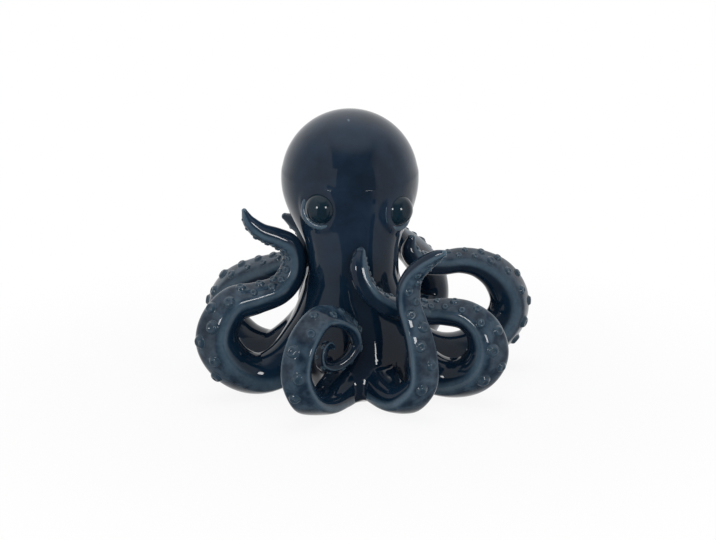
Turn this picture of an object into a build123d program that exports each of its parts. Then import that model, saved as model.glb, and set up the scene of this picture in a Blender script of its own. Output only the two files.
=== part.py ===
from build123d import *
import math
import os

# Glazed earthenware octopus figurine: a hollow head and trunk, eight hollow arms stuck to the
# trunk with slip, two rows of pressed-on suckers along each arm, and two eyes in raised lids.
# Front is -Y, up is +Z. The origin is the middle of the trunk's foot, on the table.
# Lengths are in millimetres and angles in degrees.

# Head and trunk
head_radius = 47.5
head_lift = 49.0
head_setback = 8.0
head_shift = -4.3
trunk_radius = 30.0
body_wall = 4.5
vent_diameter = 8.0
vent_setback = 14.0

# Arms: reach and rise set how far and how high they go, girth is the root's diameter
arm_reach = 100.0
arm_rise = 100.0
arm_girth = 30.0
arm_wall = 4.0
air_hole_diameter = 4.0

# Suckers at an arm's root, from where they shrink with the arm's thickness
sucker_diameter = 9.2
sucker_height = 2.3
sucker_dish = 1.0
sucker_bite = 2.2

# Eyes
eye_radius = 11.0
lid_radius = 15.5
lid_rim = 3.0
lid_depth = 16.0
# A lid's cross-section, as shares of its rim: the outer edge's height, the crest's height, and
# the inner edge's place inside the ball
lid_edge_share = 0.5
lid_crest_share = 1.5
lid_lap_share = 0.2

# Length by which cutting blocks pass the clay that they cut
overrun = 20.0

# The head clears the arms' rise by its lift, so that taller arms have room under it
head_height = arm_rise + head_lift

# Trunk from foot to neck: height, radius, shift and setback, as shares of the head's height, the
# trunk's radius and the head's own shift and setback
trunk_shares = [
    (0.00, 1.10, 0.00, 0.00),
    (0.12, 1.06, 0.10, -0.30),
    (0.30, 1.04, 0.30, -0.72),
    (0.48, 1.04, 0.40, -0.98),
    (0.62, 1.04, 0.40, -1.40),
    (0.72, 1.03, 0.45, -1.38),
    (0.80, 1.04, 0.55, -0.98),
    (0.88, 1.06, 0.65, -0.46),
    (0.94, 1.08, 0.80, 0.10),
]

# Each arm: the heading of its root, then its middle line from root to tip as rows of
# out, across, up and thickness. Out runs along the heading and across runs to the left of it,
# seen from above. Out and across are shares of arm_reach, up of arm_rise, thickness of arm_girth.
arms = {
    "front_left": (0, [
        (0.06, 0.04, 0.62, 0.57), (0.20, 0.03, 0.38, 0.54), (0.36, -0.06, 0.18, 0.50),
        (0.51, -0.165, 0.12, 0.45), (0.64, -0.25, 0.12, 0.42), (0.77, -0.325, 0.19, 0.38),
        (0.86, -0.38, 0.37, 0.35), (0.82, -0.345, 0.55, 0.335), (0.68, -0.24, 0.665, 0.30),
        (0.53, -0.09, 0.60, 0.27), (0.46, -0.03, 0.47, 0.24), (0.50, -0.07, 0.37, 0.21),
        (0.555, -0.155, 0.325, 0.18), (0.60, -0.22, 0.355, 0.15), (0.60, -0.225, 0.43, 0.13),
        (0.56, -0.19, 0.465, 0.10), (0.525, -0.155, 0.44, 0.06),
    ]),
    "front_right": (0, [
        (0.08, 0.06, 0.62, 0.57), (0.22, 0.13, 0.38, 0.54), (0.36, 0.15, 0.19, 0.50),
        (0.51, 0.23, 0.13, 0.46), (0.63, 0.325, 0.135, 0.43), (0.70, 0.42, 0.25, 0.37),
        (0.72, 0.43, 0.39, 0.35), (0.70, 0.41, 0.53, 0.33), (0.67, 0.375, 0.65, 0.30),
        (0.65, 0.34, 0.77, 0.28), (0.66, 0.335, 0.89, 0.27), (0.70, 0.37, 1.00, 0.23),
        (0.76, 0.44, 1.09, 0.20), (0.82, 0.515, 1.155, 0.15), (0.86, 0.57, 1.185, 0.07),
    ]),
    "left": (-73, [
        (0.18, 0.0, 0.63, 0.56), (0.34, 0.0, 0.41, 0.54), (0.51, 0.0, 0.22, 0.52),
        (0.70, 0.0, 0.145, 0.50), (0.88, 0.0, 0.22, 0.49), (0.99, 0.0, 0.38, 0.48),
        (0.98, 0.0, 0.53, 0.45), (0.88, 0.0, 0.66, 0.40), (0.72, 0.0, 0.695, 0.35),
        (0.56, 0.0, 0.74, 0.32), (0.47, 0.0, 0.84, 0.30), (0.445, 0.0, 0.96, 0.27),
        (0.48, 0.0, 1.06, 0.25), (0.57, 0.0, 1.115, 0.23), (0.68, 0.0, 1.165, 0.20),
        (0.76, 0.0, 1.24, 0.15), (0.795, 0.0, 1.32, 0.06),
    ]),
    "right": (0, [
        (0.05, 0.10, 0.62, 0.57), (0.13, 0.28, 0.38, 0.54), (0.21, 0.46, 0.20, 0.50),
        (0.28, 0.64, 0.14, 0.48), (0.35, 0.81, 0.20, 0.47), (0.39, 0.90, 0.35, 0.46),
        (0.38, 0.87, 0.51, 0.40), (0.34, 0.76, 0.605, 0.33), (0.29, 0.62, 0.62, 0.30),
        (0.29, 0.48, 0.62, 0.28), (0.37, 0.36, 0.655, 0.27), (0.45, 0.24, 0.705, 0.25),
        (0.49, 0.12, 0.785, 0.23), (0.49, 0.045, 0.89, 0.23), (0.47, 0.02, 1.00, 0.21),
        (0.44, 0.03, 1.08, 0.12),
    ]),
    "side_left": (-116, [
        (0.15, 0.0, 0.65, 0.57), (0.31, 0.0, 0.46, 0.54), (0.48, 0.0, 0.28, 0.52),
        (0.66, 0.0, 0.165, 0.50), (0.87, 0.0, 0.19, 0.49), (1.03, 0.0, 0.32, 0.47),
        (1.06, 0.0, 0.48, 0.44), (0.97, 0.0, 0.62, 0.40), (0.80, 0.0, 0.72, 0.36),
        (0.62, 0.0, 0.79, 0.33), (0.46, 0.0, 0.87, 0.30), (0.38, 0.0, 0.98, 0.27),
        (0.40, 0.0, 1.09, 0.23), (0.48, 0.0, 1.14, 0.18), (0.56, 0.0, 1.17, 0.08),
    ]),
    "side_right": (112, [
        (0.10, 0.0, 0.62, 0.57), (0.30, 0.0, 0.38, 0.54), (0.53, 0.0, 0.20, 0.52),
        (0.76, 0.0, 0.145, 0.50), (0.99, 0.0, 0.20, 0.49), (1.17, 0.0, 0.345, 0.50),
        (1.205, 0.0, 0.51, 0.47), (1.12, 0.0, 0.675, 0.41), (0.97, 0.0, 0.785, 0.33),
        (0.81, 0.0, 0.83, 0.29), (0.64, 0.0, 0.825, 0.27), (0.49, 0.0, 0.85, 0.25),
        (0.41, 0.0, 0.94, 0.21), (0.42, 0.0, 1.03, 0.10),
    ]),
    "back_right": (152, [
        (0.10, 0.0, 0.62, 0.57), (0.30, 0.0, 0.38, 0.54), (0.52, 0.0, 0.20, 0.52),
        (0.76, 0.0, 0.145, 0.50), (1.00, 0.0, 0.20, 0.49), (1.17, 0.0, 0.32, 0.48),
        (1.19, 0.0, 0.47, 0.44), (1.09, 0.0, 0.62, 0.40), (0.93, 0.0, 0.75, 0.37),
        (0.76, 0.0, 0.86, 0.34), (0.60, 0.0, 0.96, 0.30), (0.54, 0.0, 1.08, 0.24),
        (0.58, 0.0, 1.18, 0.10),
    ]),
    "back_left": (-162, [
        (0.10, 0.0, 0.62, 0.57), (0.30, 0.0, 0.38, 0.54), (0.50, 0.0, 0.20, 0.52),
        (0.68, 0.0, 0.145, 0.50), (0.86, 0.0, 0.21, 0.48), (0.96, 0.0, 0.35, 0.47),
        (0.93, 0.0, 0.51, 0.41), (0.80, 0.0, 0.63, 0.35), (0.64, 0.0, 0.67, 0.32),
        (0.51, 0.0, 0.62, 0.28), (0.48, 0.0, 0.50, 0.24), (0.56, 0.0, 0.42, 0.19),
        (0.66, 0.0, 0.45, 0.08),
    ]),
}

# Arms turned about their middle lines, so that their suckers show from the front. For each row:
# the turn in degrees, and the depth from the sucker side to the back as a share of the usual
# depth. The two front arms are flat bands.
arm_twists = {
    "front_left": [
        (0, 1.00), (6, 1.00), (16, 0.95), (30, 0.85), (38, 0.72), (42, 0.60), (42, 0.52),
        (46, 0.52), (52, 0.54), (56, 0.58), (58, 0.62), (58, 0.68), (56, 0.75), (54, 0.80),
        (52, 0.90), (50, 1.00), (50, 1.00),
    ],
    "front_right": [
        (0, 1.00), (-3, 1.00), (-8, 0.95), (-12, 0.88), (-15, 0.80), (-17, 0.72), (-17, 0.70),
        (-17, 0.70), (-17, 0.70), (-17, 0.72), (-17, 0.75), (-17, 0.80), (-15, 0.85),
        (-12, 0.90), (-10, 1.00),
    ],
    "left": [
        (0, 1.00), (4, 1.00), (12, 1.00), (22, 1.00), (30, 1.00), (34, 1.00), (34, 1.00),
        (32, 1.00), (28, 1.00), (24, 1.00), (22, 1.00), (22, 1.00), (22, 1.00), (20, 1.00),
        (16, 1.00), (12, 1.00), (8, 1.00),
    ],
    "right": [
        (0, 1.00), (-4, 1.00), (-12, 1.00), (-22, 1.00), (-30, 1.00), (-35, 1.00), (-36, 1.00),
        (-34, 1.00), (-30, 1.00), (-26, 1.00), (-22, 1.00), (-18, 1.00), (-14, 1.00), (-10, 1.00),
        (-6, 1.00), (0, 1.00),
    ],
    "side_left": [
        (0, 1.00), (4, 1.00), (12, 1.00), (20, 1.00), (26, 1.00), (30, 1.00), (32, 1.00),
        (32, 1.00), (30, 1.00), (26, 1.00), (20, 1.00), (14, 1.00), (8, 1.00), (4, 1.00),
        (0, 1.00),
    ],
    "side_right": [
        (0, 1.00), (-4, 1.00), (-12, 1.00), (-22, 1.00), (-32, 1.00), (-38, 1.00), (-40, 1.00),
        (-38, 1.00), (-34, 1.00), (-28, 1.00), (-20, 1.00), (-12, 1.00), (-6, 1.00), (0, 1.00),
    ],
}

# An arm's cross-section, as shares of its half thickness: across, then towards the sucker side.
# The sucker side is flatter, and its two edges are soft ridges.
face_edge_share = (0.66, 0.86)
face_crown_share = 0.97
flank_share = (1.00, 0.12)
back_edge_share = (0.70, -0.70)
back_crown_share = -1.00

# The hollow runs from the root to this share of an arm's rows, and only where the arm's half
# thickness is more than this many walls
hollow_share = 0.62
hollow_room_share = 1.6

# Suckers' places, as shares of the arm's half thickness where they sit: off the middle line,
# along the arm, and lowest height above the table. They end at a share of the arm's frames.
# On the two front arms they stand further apart.
sucker_side_share = 0.33
sucker_pitch_share = 0.60
wide_pitch_share = 1.15
sucker_lift_share = 0.55
sucker_end_share = 0.97
sucker_tilt_share = 0.15
sucker_sink_share = 0.02
wide_pitch_arms = ("front_left", "front_right")
# Width of the dish in a sucker, as a share of the sucker
sucker_dish_share = 0.62
# Rounding of a sucker's rim, as a share of its height
sucker_round_share = 0.6

# Eyes: bearing on the head, drop below the head's middle, and bearing of the gaze
eyes = {
    "left": (-24.5, 15.5, -30.0),
    "right": (46.0, 20.0, 59.0),
}
eye_stand_share = 1.0

# Bearings, in degrees, of the seams between neighbouring arms' roots, each before its arm
seams = {
    "front_left": -40, "front_right": 13, "right": 47, "side_right": 89,
    "back_right": 132, "back_left": 175, "side_left": 221, "left": 265.5,
}

# The cone round the trunk inside which neighbouring roots are trimmed to their seams: its radius
# at the table and at its top, as shares of arm_reach, and its height, as a share of arm_rise
collar_shares = (0.66, 0.32, 0.72)

# How many sections an arm has between two rows of its table, and steps per section for lengths
sections_per_row = 2
steps_per_row = 12


def body_outline(inset):
    # Head and trunk as one solid, drawn in all round by the inset
    sections = []
    for height, radius, shift, setback in trunk_shares:
        centre = (head_shift * shift, head_setback * setback, head_height * height)
        sections.append(Plane(centre) * Circle(trunk_radius * radius - inset))
    trunk = loft(sections)
    head = Pos(head_shift, head_setback, head_height) * Sphere(head_radius - inset)
    return (trunk + head).solid()


def arm_rows(name):
    # The arm's rows: place on the middle line, half thickness, turn and depth
    heading, shares = arms[name]
    twists = arm_twists.get(name, [(0, 1)] * len(shares))
    turn = math.radians(heading)
    out_way = Vector(math.sin(turn), -math.cos(turn), 0)
    across_way = Vector(math.cos(turn), math.sin(turn), 0)
    rows = []
    for (out, across, up, thickness), (twist, depth) in zip(shares, twists):
        place = out_way * (arm_reach * out) + across_way * (arm_reach * across)
        place += Vector(0, 0, arm_rise * up)
        rows.append((place.X, place.Y, place.Z, arm_girth * thickness, twist, depth))
    return rows


def between_rows(rows, position):
    # Smooth curve through all rows: position 2.5 is half way from the third row to the fourth
    index = min(int(position), len(rows) - 2)
    t = position - index
    before = rows[max(index - 1, 0)]
    start, end = rows[index], rows[index + 1]
    after = rows[min(index + 2, len(rows) - 1)]
    values = []
    for a, b, c, d in zip(before, start, end, after):
        slope_in, slope_out = (c - a) / 2, (d - b) / 2
        values.append(
            b * (2 * t**3 - 3 * t**2 + 1)
            + slope_in * (t**3 - 2 * t**2 + t)
            + c * (3 * t**2 - 2 * t**3)
            + slope_out * (t**3 - t**2)
        )
    return Vector(*values[:3]), *values[3:]


def arm_frames(name, steps):
    # Frames along the arm: place, half thickness, depth, way along, way across and sucker side.
    # The sucker side starts underneath and follows the arm, and is then turned by the twist.
    rows = arm_rows(name)
    last = (len(rows) - 1) * steps
    stations = [between_rows(rows, number / steps) for number in range(last + 1)]
    frames = []
    plain_way = Vector(0, 0, -1)
    for number, (place, half, twist, depth) in enumerate(stations):
        ahead = stations[min(number + 1, last)][0]
        behind = stations[max(number - 1, 0)][0]
        along = (ahead - behind).normalized()
        plain_way = (plain_way - along * plain_way.dot(along)).normalized()
        turn = math.radians(twist)
        sucker_way = plain_way * math.cos(turn) + along.cross(plain_way) * math.sin(turn)
        frames.append((place, half, depth, along, along.cross(sucker_way), sucker_way))
    return frames


def arm_section(frame, inset):
    # Closed outline of the arm at one frame, from four arcs
    place, half, depth, along, across_way, sucker_way = frame
    crest = face_crown_share * half
    thick = (face_crown_share - back_crown_share) * half * depth
    core = crest - thick / 2

    def spot(across, out):
        # The sucker side keeps its place, and a shallow arm loses clay from its back
        share = (out - back_crown_share) / (face_crown_share - back_crown_share) * 2 - 1
        level = core + (thick / 2 - inset) * share
        return place + across_way * ((half - inset) * across) + sucker_way * level

    side, top = face_edge_share
    wide, level = flank_share
    foot, low = back_edge_share
    face = ThreePointArc(spot(-side, top), spot(0, face_crown_share), spot(side, top))
    right = ThreePointArc(spot(side, top), spot(wide, level), spot(foot, low))
    back = ThreePointArc(spot(foot, low), spot(0, back_crown_share), spot(-foot, low))
    left = ThreePointArc(spot(-foot, low), spot(-wide, level), spot(-side, top))
    return Wire([face, right, back, left])


def arm_solid(name, inset=0):
    # The arm before it is trimmed, or its hollow where an inset is given
    frames = arm_frames(name, sections_per_row)
    if inset:
        # The hollow ends where the arm gets too thin for its walls
        frames = frames[: int(len(frames) * hollow_share)]
        frames = [frame for frame in frames if frame[1] * frame[2] > inset * hollow_room_share]
    return Solid.make_loft([arm_section(frame, inset) for frame in frames])


def sucker_shape(scale):
    # One sucker on its seat: a disc with a rounded rim and a dished middle
    radius = sucker_diameter / 2 * scale
    top, bite, dish = sucker_height * scale, sucker_bite * scale, sucker_dish * scale
    disc = Solid.make_cylinder(radius, bite + top, Plane((0, 0, -bite)))
    disc = disc.fillet(top * sucker_round_share, [disc.edges().sort_by(Axis.Z)[-1]])
    mouth = radius * sucker_dish_share
    ball_radius = (mouth**2 + dish**2) / (2 * dish)
    # The ball lies on its side, so that neither its poles nor its seam fall in the dish
    ball = Pos(0, 0, top + ball_radius - dish) * Rot(0, -90, 0) * Sphere(ball_radius)
    return (disc - ball).solid()


def sucker_group(name):
    # Two staggered rows of suckers, from where the arm leaves the table to near its tip
    frames = arm_frames(name, steps_per_row)
    last = int(len(frames) * sucker_end_share)
    pitch = wide_pitch_share if name in wide_pitch_arms else sucker_pitch_share
    placed = []
    travelled = 0
    side = 1
    for number in range(1, last):
        place, half, depth, along, across_way, sucker_way = frames[number]
        travelled += (place - frames[number - 1][0]).length
        foot = place + sucker_way * half
        outside = Vector(place.X, place.Y, 0).length > trunk_radius + half
        if foot.Z < half * sucker_lift_share or not outside:
            travelled = 0
            continue
        if travelled < half * pitch:
            continue
        travelled = 0
        side = -side
        centre = place + across_way * (side * half * sucker_side_share)
        centre += sucker_way * (half * (face_crown_share - sucker_sink_share))
        up = sucker_way + across_way * (side * sucker_tilt_share)
        placed.append(Plane(origin=centre, x_dir=along, z_dir=up) * sucker_shape(2 * half / arm_girth))
    return placed


def eye_pieces(name, head):
    # Eyeball and the raised lid round it, both standing on the head
    bearing, drop, gaze = (math.radians(angle) for angle in eyes[name])
    stand = head_radius * eye_stand_share
    level = math.cos(drop)
    centre = Vector(head_shift, head_setback, head_height) + stand * Vector(
        math.sin(bearing) * level, -math.cos(bearing) * level, -math.sin(drop)
    )
    look = Vector(math.sin(gaze), -math.cos(gaze), 0)
    seat = Plane(origin=centre, x_dir=(0, 0, 1), z_dir=look)
    ball = Pos(centre) * Sphere(eye_radius)
    outer_edge = (lid_radius, lid_rim * lid_edge_share)
    crest = (lid_radius - lid_rim, lid_rim * lid_crest_share)
    inner_edge = (eye_radius - lid_rim * lid_lap_share, lid_rim)
    with BuildPart() as ring:
        with BuildSketch(Plane.XZ):
            with BuildLine():
                Polyline((0, lid_rim), (0, -lid_depth), (lid_radius, -lid_depth), outer_edge)
                ThreePointArc(outer_edge, crest, inner_edge)
                Line(inner_edge, (0, lid_rim))
            make_face()
        revolve(axis=Axis.Z)
    lid = (seat * ring.part) - ball - head
    return ball - head, lid


def bearing(angle, distance):
    # A point on the table at this bearing from the front, turning towards +X
    turn = math.radians(angle)
    return Vector(math.sin(turn) * distance, -math.cos(turn) * distance, 0)


def root_sector(name, inset):
    # The slice between an arm's two seams, drawn in from both by the inset
    names = list(seams)
    first = seams[name]
    second = seams[names[(names.index(name) + 1) % len(names)]]
    width = (second - first) % 360
    apex = bearing(first + width / 2, inset / math.sin(math.radians(width / 2)))
    corners = [apex + bearing(first + width * share, 2 * arm_reach) for share in (0, 0.5, 1)]
    foot = make_face(Polyline(apex, *corners, close=True))
    return extrude(foot, amount=2 * arm_rise, dir=(0, 0, 1)).moved(Pos(0, 0, -overrun))


def root_trimmer(name, inset=0):
    # The clay near the trunk that belongs to the other arms' slices
    low, high, height = collar_shares
    tall = arm_rise * height
    collar = Pos(0, 0, tall / 2) * Cone(arm_reach * low, arm_reach * high, tall)
    return (collar - root_sector(name, inset)).solid()


def largest(shape):
    # The main solid of a cut shape, without what was cut off
    return shape.solids().sort_by(SortBy.VOLUME)[-1]


def arm_piece(name, body_block, swollen_body):
    # The arm as it is cast: trimmed to the trunk, the table and its neighbours, and hollow
    piece = largest(arm_solid(name) - body_block)
    piece -= table_block(0)
    piece -= root_trimmer(name)
    hollow = largest(arm_solid(name, arm_wall) - swollen_body)
    hollow -= table_block(arm_wall)
    hollow -= root_trimmer(name, arm_wall)
    piece -= hollow
    return largest(piece - air_hole(name))


def air_hole(name):
    # The hole pierced through the trunk and the root's end, so that air can leave the arm
    rows = arm_rows(name)
    start, end = Vector(*rows[0][:3]), Vector(*rows[2][:3])
    way = end - start
    return Solid.make_cylinder(air_hole_diameter / 2, way.length, Plane(origin=start, z_dir=way))


def table_block(height):
    # Everything below this height
    return Pos(0, 0, height - overrun) * Box(4 * arm_reach, 4 * arm_reach, 2 * overrun)


def body_piece(body_block):
    # Head and trunk as cast: an even wall, a closed foot with a vent, and the arms' air holes
    piece = body_block - (body_outline(body_wall) - table_block(body_wall))
    piece -= Pos(0, vent_setback, 0) * Cylinder(vent_diameter / 2, 2 * overrun)
    for name in arms:
        piece -= air_hole(name)
    return piece.solid()


def write(name, shape):
    export_step(shape, "parts/" + name + ".step")
    print(name, len(shape.solids()), "solids", round(shape.volume), "mm3")


os.makedirs("parts", exist_ok=True)

body_block = body_outline(0)
swollen_body = body_outline(-arm_wall)
write("body", body_piece(body_block))
for name in eyes:
    ball, lid = eye_pieces(name, body_block)
    write("eyeball_" + name, ball)
    write("eyelid_" + name, lid)
for name in arms:
    arm = arm_piece(name, body_block, swollen_body)
    write("arm_" + name, arm)
    write("suckers_" + name, Compound(children=sucker_group(name)))
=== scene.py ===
import bpy
import math
import numpy as np
import openvdb
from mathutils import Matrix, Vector


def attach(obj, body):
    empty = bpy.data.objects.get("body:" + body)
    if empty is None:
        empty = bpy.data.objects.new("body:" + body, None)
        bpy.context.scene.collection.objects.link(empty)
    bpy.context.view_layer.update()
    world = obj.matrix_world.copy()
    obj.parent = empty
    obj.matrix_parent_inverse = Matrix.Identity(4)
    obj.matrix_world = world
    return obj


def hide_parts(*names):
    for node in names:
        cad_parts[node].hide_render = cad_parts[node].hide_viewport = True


# A glazed earthenware octopus. The tables of shapes are in millimetres, as in the CAD source, and
# meshes, glazes and studio in metres.

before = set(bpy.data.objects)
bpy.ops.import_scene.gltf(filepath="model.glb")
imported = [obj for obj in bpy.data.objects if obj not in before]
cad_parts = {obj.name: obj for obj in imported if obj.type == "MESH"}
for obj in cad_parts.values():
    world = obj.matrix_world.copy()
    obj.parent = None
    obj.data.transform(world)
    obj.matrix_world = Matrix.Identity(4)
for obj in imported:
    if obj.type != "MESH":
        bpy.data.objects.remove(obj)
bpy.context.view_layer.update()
scene = bpy.context.scene
millimetre = 0.001
print("frame loaded:", len(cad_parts), "nodes")


# Arms: middle lines

armSizes = {
    "reach": 100.0,
    "rise": 100.0,
    "girth": 30.0,
    "stepsPerRow": 18,
    "pointsAround": 72,
    "outlineSteps": 40,
    "tipRings": 6,
    "paleSpan": (0.25, 0.85),   # shares of the half thickness where the sucker side begins and is full
    "paleRows": (1.5, 3.5),
    "paleFade": 1.5,
    # the front left arm's inner coil loses the paler glaze from this row on, as painted shade inside its
    # curl
    "paleUntilShadeRow": {"front_left": 10.5},
}

# Heading of the root, then rows of out, across, up and thickness, as shares of reach, rise and girth
arms = {
    "front_left": (0, [
        (0.06, 0.04, 0.62, 0.57), (0.20, 0.03, 0.38, 0.54), (0.36, -0.06, 0.18, 0.50),
        (0.51, -0.165, 0.12, 0.45), (0.64, -0.25, 0.12, 0.42), (0.77, -0.325, 0.19, 0.38),
        (0.86, -0.38, 0.37, 0.35), (0.82, -0.345, 0.55, 0.335), (0.68, -0.24, 0.665, 0.30),
        (0.53, -0.09, 0.60, 0.27), (0.46, -0.03, 0.47, 0.24), (0.50, -0.07, 0.37, 0.21),
        (0.555, -0.155, 0.325, 0.18), (0.60, -0.22, 0.355, 0.15), (0.60, -0.225, 0.43, 0.13),
        (0.56, -0.19, 0.465, 0.10), (0.525, -0.155, 0.44, 0.06),
    ]),
    "front_right": (0, [
        (0.08, 0.06, 0.62, 0.57), (0.22, 0.13, 0.38, 0.54), (0.36, 0.15, 0.19, 0.50),
        (0.51, 0.23, 0.13, 0.46), (0.63, 0.325, 0.135, 0.43), (0.70, 0.42, 0.25, 0.37),
        (0.72, 0.43, 0.39, 0.35), (0.70, 0.41, 0.53, 0.33), (0.67, 0.375, 0.65, 0.30),
        (0.65, 0.34, 0.77, 0.28), (0.66, 0.335, 0.89, 0.27), (0.70, 0.37, 1.00, 0.23),
        (0.76, 0.44, 1.09, 0.20), (0.82, 0.515, 1.155, 0.15), (0.86, 0.57, 1.185, 0.07),
    ]),
    "left": (-73, [
        (0.18, 0.0, 0.63, 0.56), (0.34, 0.0, 0.41, 0.54), (0.51, 0.0, 0.22, 0.52),
        (0.70, 0.0, 0.145, 0.50), (0.88, 0.0, 0.22, 0.49), (0.99, 0.0, 0.38, 0.48),
        (0.98, 0.0, 0.53, 0.45), (0.88, 0.0, 0.66, 0.40), (0.72, 0.0, 0.695, 0.35),
        (0.56, 0.0, 0.74, 0.32), (0.47, 0.0, 0.84, 0.30), (0.445, 0.0, 0.96, 0.27),
        (0.48, 0.0, 1.06, 0.25), (0.57, 0.0, 1.115, 0.23), (0.68, 0.0, 1.165, 0.20),
        (0.76, 0.0, 1.24, 0.15), (0.795, 0.0, 1.32, 0.06),
    ]),
    "right": (0, [
        (0.05, 0.10, 0.62, 0.57), (0.13, 0.28, 0.38, 0.54), (0.21, 0.46, 0.20, 0.50),
        (0.28, 0.64, 0.14, 0.48), (0.35, 0.81, 0.20, 0.47), (0.39, 0.90, 0.35, 0.46),
        (0.38, 0.87, 0.51, 0.40), (0.34, 0.76, 0.605, 0.33), (0.29, 0.62, 0.62, 0.30),
        (0.29, 0.48, 0.62, 0.28), (0.37, 0.36, 0.655, 0.27), (0.45, 0.24, 0.705, 0.25),
        (0.49, 0.12, 0.785, 0.23), (0.49, 0.045, 0.89, 0.23), (0.47, 0.02, 1.00, 0.21),
        (0.44, 0.03, 1.08, 0.12),
    ]),
    "side_left": (-116, [
        (0.15, 0.0, 0.65, 0.57), (0.31, 0.0, 0.46, 0.54), (0.48, 0.0, 0.28, 0.52),
        (0.66, 0.0, 0.165, 0.50), (0.87, 0.0, 0.19, 0.49), (1.03, 0.0, 0.32, 0.47),
        (1.06, 0.0, 0.48, 0.44), (0.97, 0.0, 0.62, 0.40), (0.80, 0.0, 0.72, 0.36),
        (0.62, 0.0, 0.79, 0.33), (0.46, 0.0, 0.87, 0.30), (0.38, 0.0, 0.98, 0.27),
        (0.40, 0.0, 1.09, 0.23), (0.48, 0.0, 1.14, 0.18), (0.56, 0.0, 1.17, 0.08),
    ]),
    "side_right": (112, [
        (0.10, 0.0, 0.62, 0.57), (0.30, 0.0, 0.38, 0.54), (0.53, 0.0, 0.20, 0.52),
        (0.76, 0.0, 0.145, 0.50), (0.99, 0.0, 0.20, 0.49), (1.17, 0.0, 0.345, 0.50),
        (1.205, 0.0, 0.51, 0.47), (1.12, 0.0, 0.675, 0.41), (0.97, 0.0, 0.785, 0.33),
        (0.81, 0.0, 0.83, 0.29), (0.64, 0.0, 0.825, 0.27), (0.49, 0.0, 0.85, 0.25),
        (0.41, 0.0, 0.94, 0.21), (0.42, 0.0, 1.03, 0.10),
    ]),
    "back_right": (152, [
        (0.10, 0.0, 0.62, 0.57), (0.30, 0.0, 0.38, 0.54), (0.52, 0.0, 0.20, 0.52),
        (0.76, 0.0, 0.145, 0.50), (1.00, 0.0, 0.20, 0.49), (1.17, 0.0, 0.32, 0.48),
        (1.19, 0.0, 0.47, 0.44), (1.09, 0.0, 0.62, 0.40), (0.93, 0.0, 0.75, 0.37),
        (0.76, 0.0, 0.86, 0.34), (0.60, 0.0, 0.96, 0.30), (0.54, 0.0, 1.08, 0.24),
        (0.58, 0.0, 1.18, 0.10),
    ]),
    "back_left": (-162, [
        (0.10, 0.0, 0.62, 0.57), (0.30, 0.0, 0.38, 0.54), (0.50, 0.0, 0.20, 0.52),
        (0.68, 0.0, 0.145, 0.50), (0.86, 0.0, 0.21, 0.48), (0.96, 0.0, 0.35, 0.47),
        (0.93, 0.0, 0.51, 0.41), (0.80, 0.0, 0.63, 0.35), (0.64, 0.0, 0.67, 0.32),
        (0.51, 0.0, 0.62, 0.28), (0.48, 0.0, 0.50, 0.24), (0.56, 0.0, 0.42, 0.19),
        (0.66, 0.0, 0.45, 0.08),
    ]),
}

# How far each row of an arm is turned about the middle line, in degrees
armTurns = {
    "front_left": [0, 6, 16, 30, 38, 42, 42, 46, 52, 56, 58, 58, 56, 54, 52, 50, 50],
    "front_right": [0, -3, -8, -12, -15, -17, -17, -17, -17, -17, -17, -17, -15, -12, -10],
    "left": [0, 4, 12, 22, 30, 34, 34, 32, 28, 24, 22, 22, 22, 20, 16, 12, 8],
    "right": [0, -4, -12, -22, -30, -35, -36, -34, -30, -26, -22, -18, -14, -10, -6, 0],
    "side_left": [0, 4, 12, 20, 26, 30, 32, 32, 30, 26, 20, 14, 8, 4, 0],
    "side_right": [0, -4, -12, -22, -32, -38, -40, -38, -34, -28, -20, -12, -6, 0],
}

# How deep each row of the two front arms is, which are flat bands: a share of the round outline
armDepths = {
    "front_left": [
        1.00, 1.00, 0.95, 0.85, 0.72, 0.60, 0.52, 0.52, 0.54, 0.58, 0.62, 0.68, 0.75, 0.80, 0.90,
        1.00, 1.00,
    ],
    "front_right": [
        1.00, 1.00, 0.95, 0.88, 0.80, 0.72, 0.70, 0.70, 0.70, 0.72, 0.75, 0.80, 0.85, 0.90, 1.00,
    ],
}

# Half of an arm's outline from the middle of the sucker side to the middle of the back, as shares
# of the half thickness: across, then towards the sucker side. The front arms have ridged edges.
softOutline = [
    (0.00, 0.94), (0.30, 0.925), (0.56, 0.88), (0.76, 0.76), (0.90, 0.53), (0.98, 0.22),
    (1.00, -0.06), (0.93, -0.42), (0.72, -0.76), (0.38, -0.95), (0.00, -1.00),
]
ridgedOutline = [
    (0.00, 0.955), (0.30, 0.94), (0.56, 0.90), (0.78, 0.82), (0.905, 0.64), (0.965, 0.36),
    (1.00, 0.02), (0.93, -0.40), (0.72, -0.74), (0.38, -0.95), (0.00, -1.00),
]
crownOut = 0.97     # the depth is measured from the middle of the sucker side
ridgedArms = ("front_left", "front_right")


def smoothThrough(rows, positions):
    # Smooth curve through all rows: position 2.5 is half way from the third row to the fourth
    rows = np.asarray(rows, float)
    positions = np.asarray(positions, float)
    index = np.minimum(positions.astype(int), len(rows) - 2)
    t = (positions - index)[:, None]
    before, start = rows[np.maximum(index - 1, 0)], rows[index]
    end, after = rows[index + 1], rows[np.minimum(index + 2, len(rows) - 1)]
    slopeIn, slopeOut = (end - before) / 2, (after - start) / 2
    return (start * (2 * t**3 - 3 * t**2 + 1) + slopeIn * (t**3 - 2 * t**2 + t)
            + end * (3 * t**2 - 2 * t**3) + slopeOut * (t**3 - t**2))


def unit(vectors):
    return vectors / np.linalg.norm(vectors, axis=-1, keepdims=True)


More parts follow.
